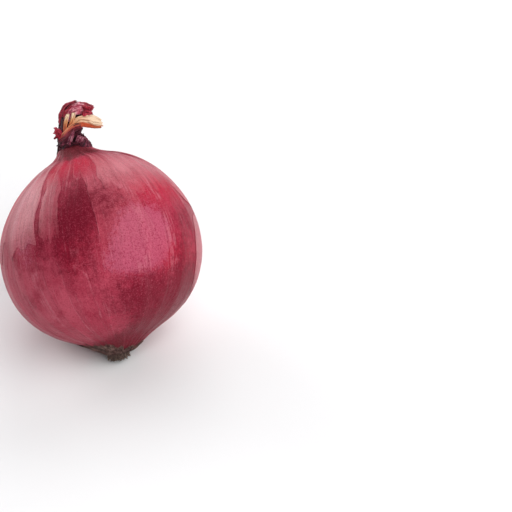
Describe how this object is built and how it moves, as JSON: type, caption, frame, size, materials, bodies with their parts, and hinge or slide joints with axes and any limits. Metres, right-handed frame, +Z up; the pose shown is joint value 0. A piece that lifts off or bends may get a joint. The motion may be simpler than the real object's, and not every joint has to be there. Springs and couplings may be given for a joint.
{
  "type": "onion",
  "caption": "Whole red onion lying on its flank, with a round papery bulb, a hooked dried neck and a short root tuft; it rests on a small flat spot.",
  "frame": {"origin": "middle of the small flat spot under the bulb, on the surface that the onion lies on", "axes": "+Z up from the surface; -Y to the front, the side that the roots lean towards; +X to the right; the neck leans up, back and a little to the left"},
  "size_m": [0.0799, 0.0796, 0.0898],
  "materials": {
    "skin": "satin",
    "neck": "matte",
    "straw": "matte",
    "roots": "matte"
  },
  "bodies": {
    "root": {"bulb": "skin", "dry_neck": "neck", "straw_leaf": "straw", "root_tuft": "roots"}
  },
  "joints": []
}
